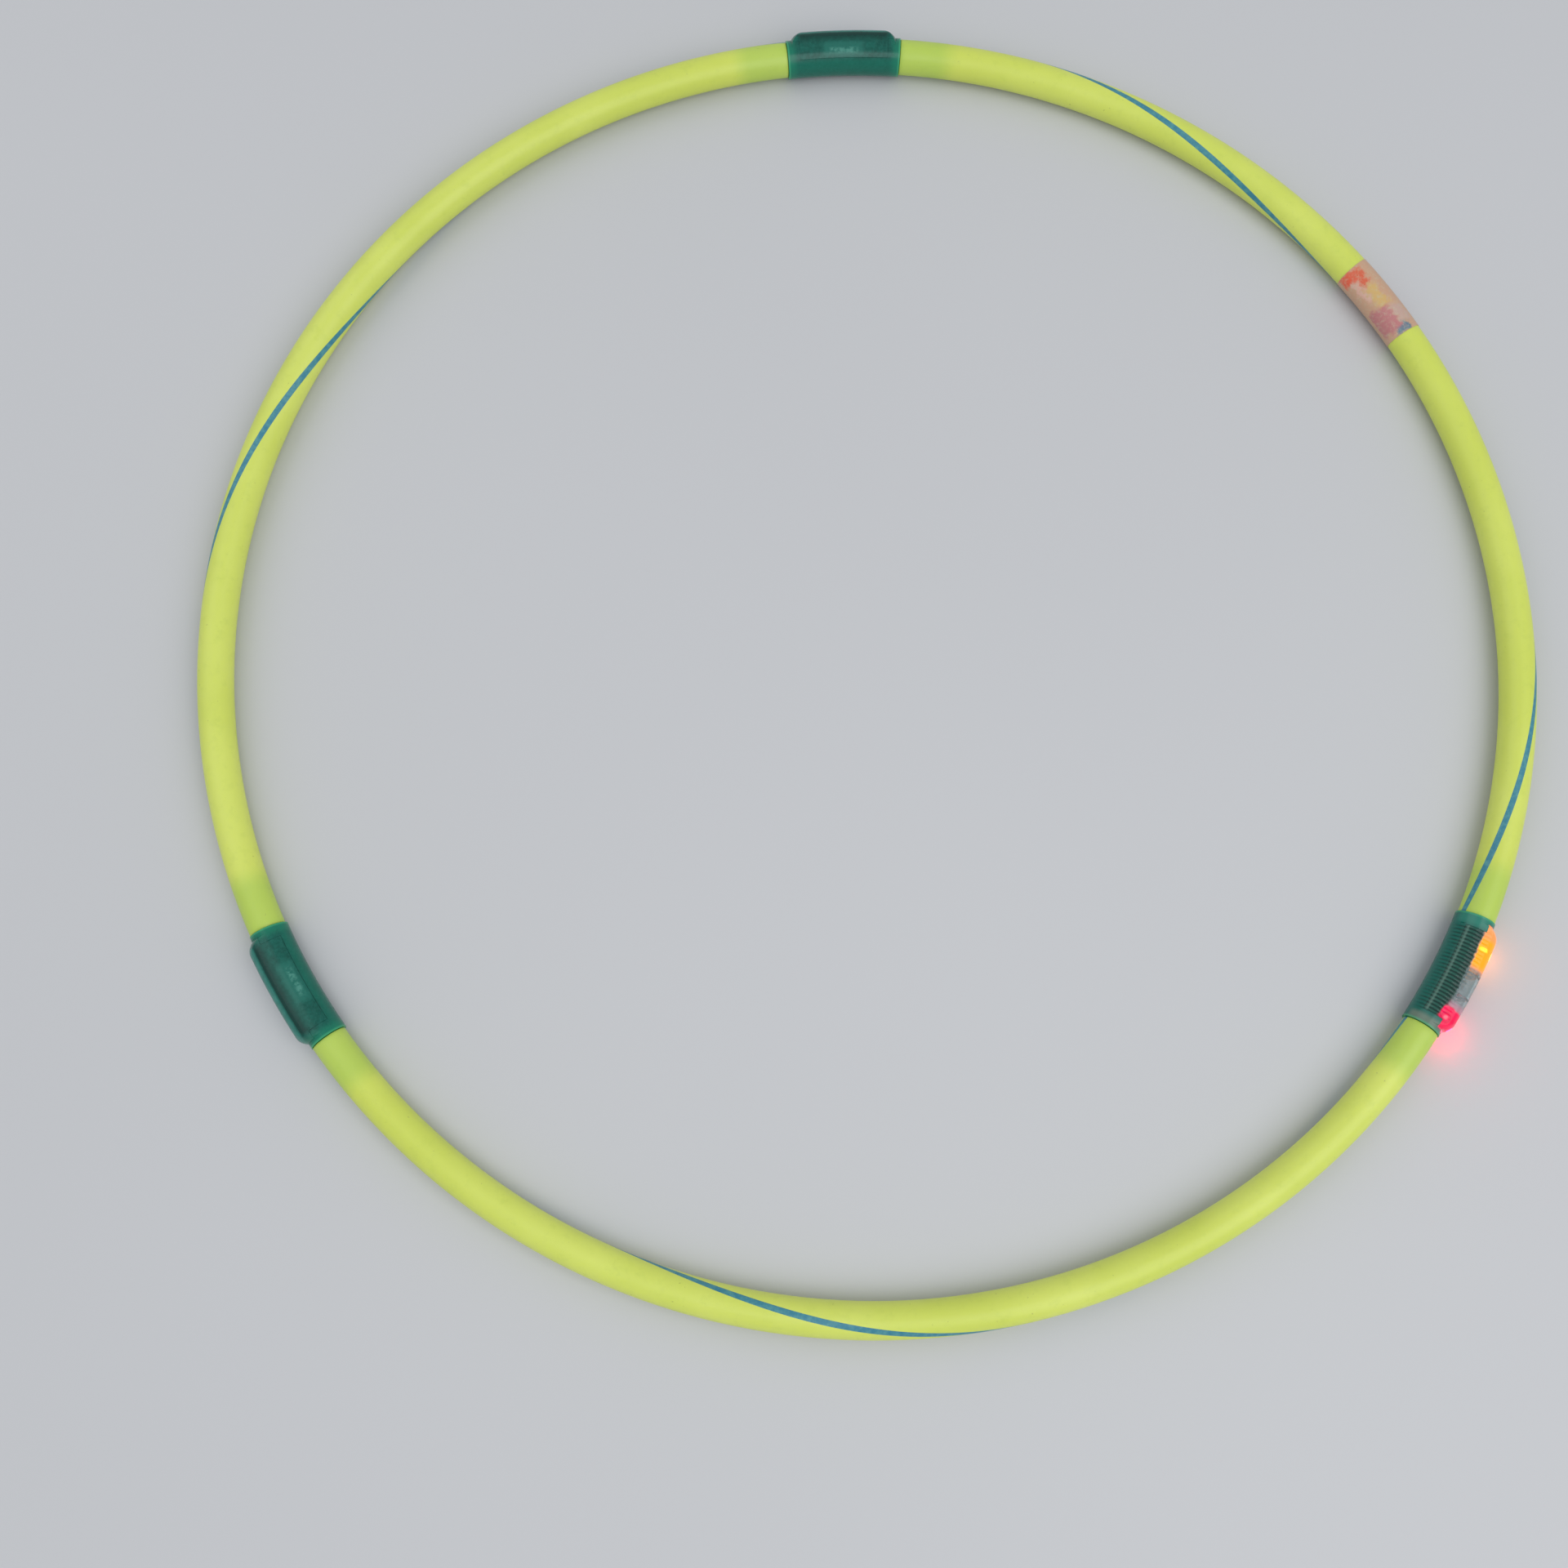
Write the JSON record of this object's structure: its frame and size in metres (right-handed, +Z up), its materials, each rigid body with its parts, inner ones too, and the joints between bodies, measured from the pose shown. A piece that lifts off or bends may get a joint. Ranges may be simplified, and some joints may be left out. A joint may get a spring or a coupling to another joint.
{
  "type": "juggling ring",
  "caption": "Light-up juggling hoop of round translucent tube in bent lengths, joined by teal couplers, one with a clear ribbed lens over its lamps, button cells and motion switch.",
  "frame": {"origin": "centre of the hoop, on the centre plane of its tubes", "axes": "+Z up out of the hoop's plane, on the side away from the battery door; +Y towards the top plain coupler; +X completes a right-handed frame, so the light module lies at 327.6 degrees from +X"},
  "size_m": [0.61, 0.6126, 0.0184],
  "materials": {
    "tube_plastic": "satin, slightly translucent yellow-green with a thin blue stripe",
    "label_film": "printed film, satin",
    "teal_plastic": "glossy, translucent teal",
    "clear_plastic": "clear, finely ribbed across",
    "board_green": "satin solder mask",
    "led_amber_lit": "clear dome, lit amber",
    "led_unlit": "clear dome, unlit",
    "led_red_lit": "clear dome, lit red",
    "tinned_wire": "tinned",
    "spring_steel": "plated spring wire",
    "black_resin": "satin",
    "cell_steel": "bright steel can",
    "contact_nickel": "nickel plated",
    "screw_steel": "zinc plated"
  },
  "bodies": {
    "hoop": {"tube_left": "tube_plastic", "tube_bottom": "tube_plastic", "tube_right": "tube_plastic", "tube_label": "label_film", "coupler_body_top": "teal_plastic", "coupler_body_left": "teal_plastic", "coupler_body_light": "teal_plastic", "coupler_cover_top": "teal_plastic", "coupler_cover_left": "teal_plastic", "light_lens": "clear_plastic", "circuit_board": "board_green", "led_amber": "led_amber_lit", "led_middle": "led_unlit", "led_red": "led_red_lit", "led_leads": "tinned_wire", "driver_chip": "black_resin", "button_cell_1": "cell_steel", "button_cell_2": "cell_steel", "button_cell_3": "cell_steel", "battery_contact_plus": "contact_nickel", "battery_contact_minus": "contact_nickel", "motion_switch_base": "black_resin", "motion_switch_pin": "tinned_wire", "motion_switch_leads": "tinned_wire"},
    "door": {"battery_door": "teal_plastic"},
    "screws": {"door_screws": "screw_steel"},
    "spring": {"motion_switch_spring": "spring_steel"}
  },
  "joints": [
    {"name": "battery_door_lift", "type": "slide", "parent": "hoop", "child": "door", "axis": [0, 0, -1], "range_m": [0, 0.012]},
    {"name": "door_screws_undo", "type": "slide", "parent": "door", "child": "screws", "axis": [0, 0, -1], "range_m": [0, 0.005]},
    {"name": "motion_spring_swing", "type": "hinge", "parent": "hoop", "child": "spring", "pos_m": [0.23867, -0.17539, 0], "axis": [0, 0, 1], "range_deg": [-5, 5], "stiffness_Nm_per_rad": 0.0001}
  ]
}
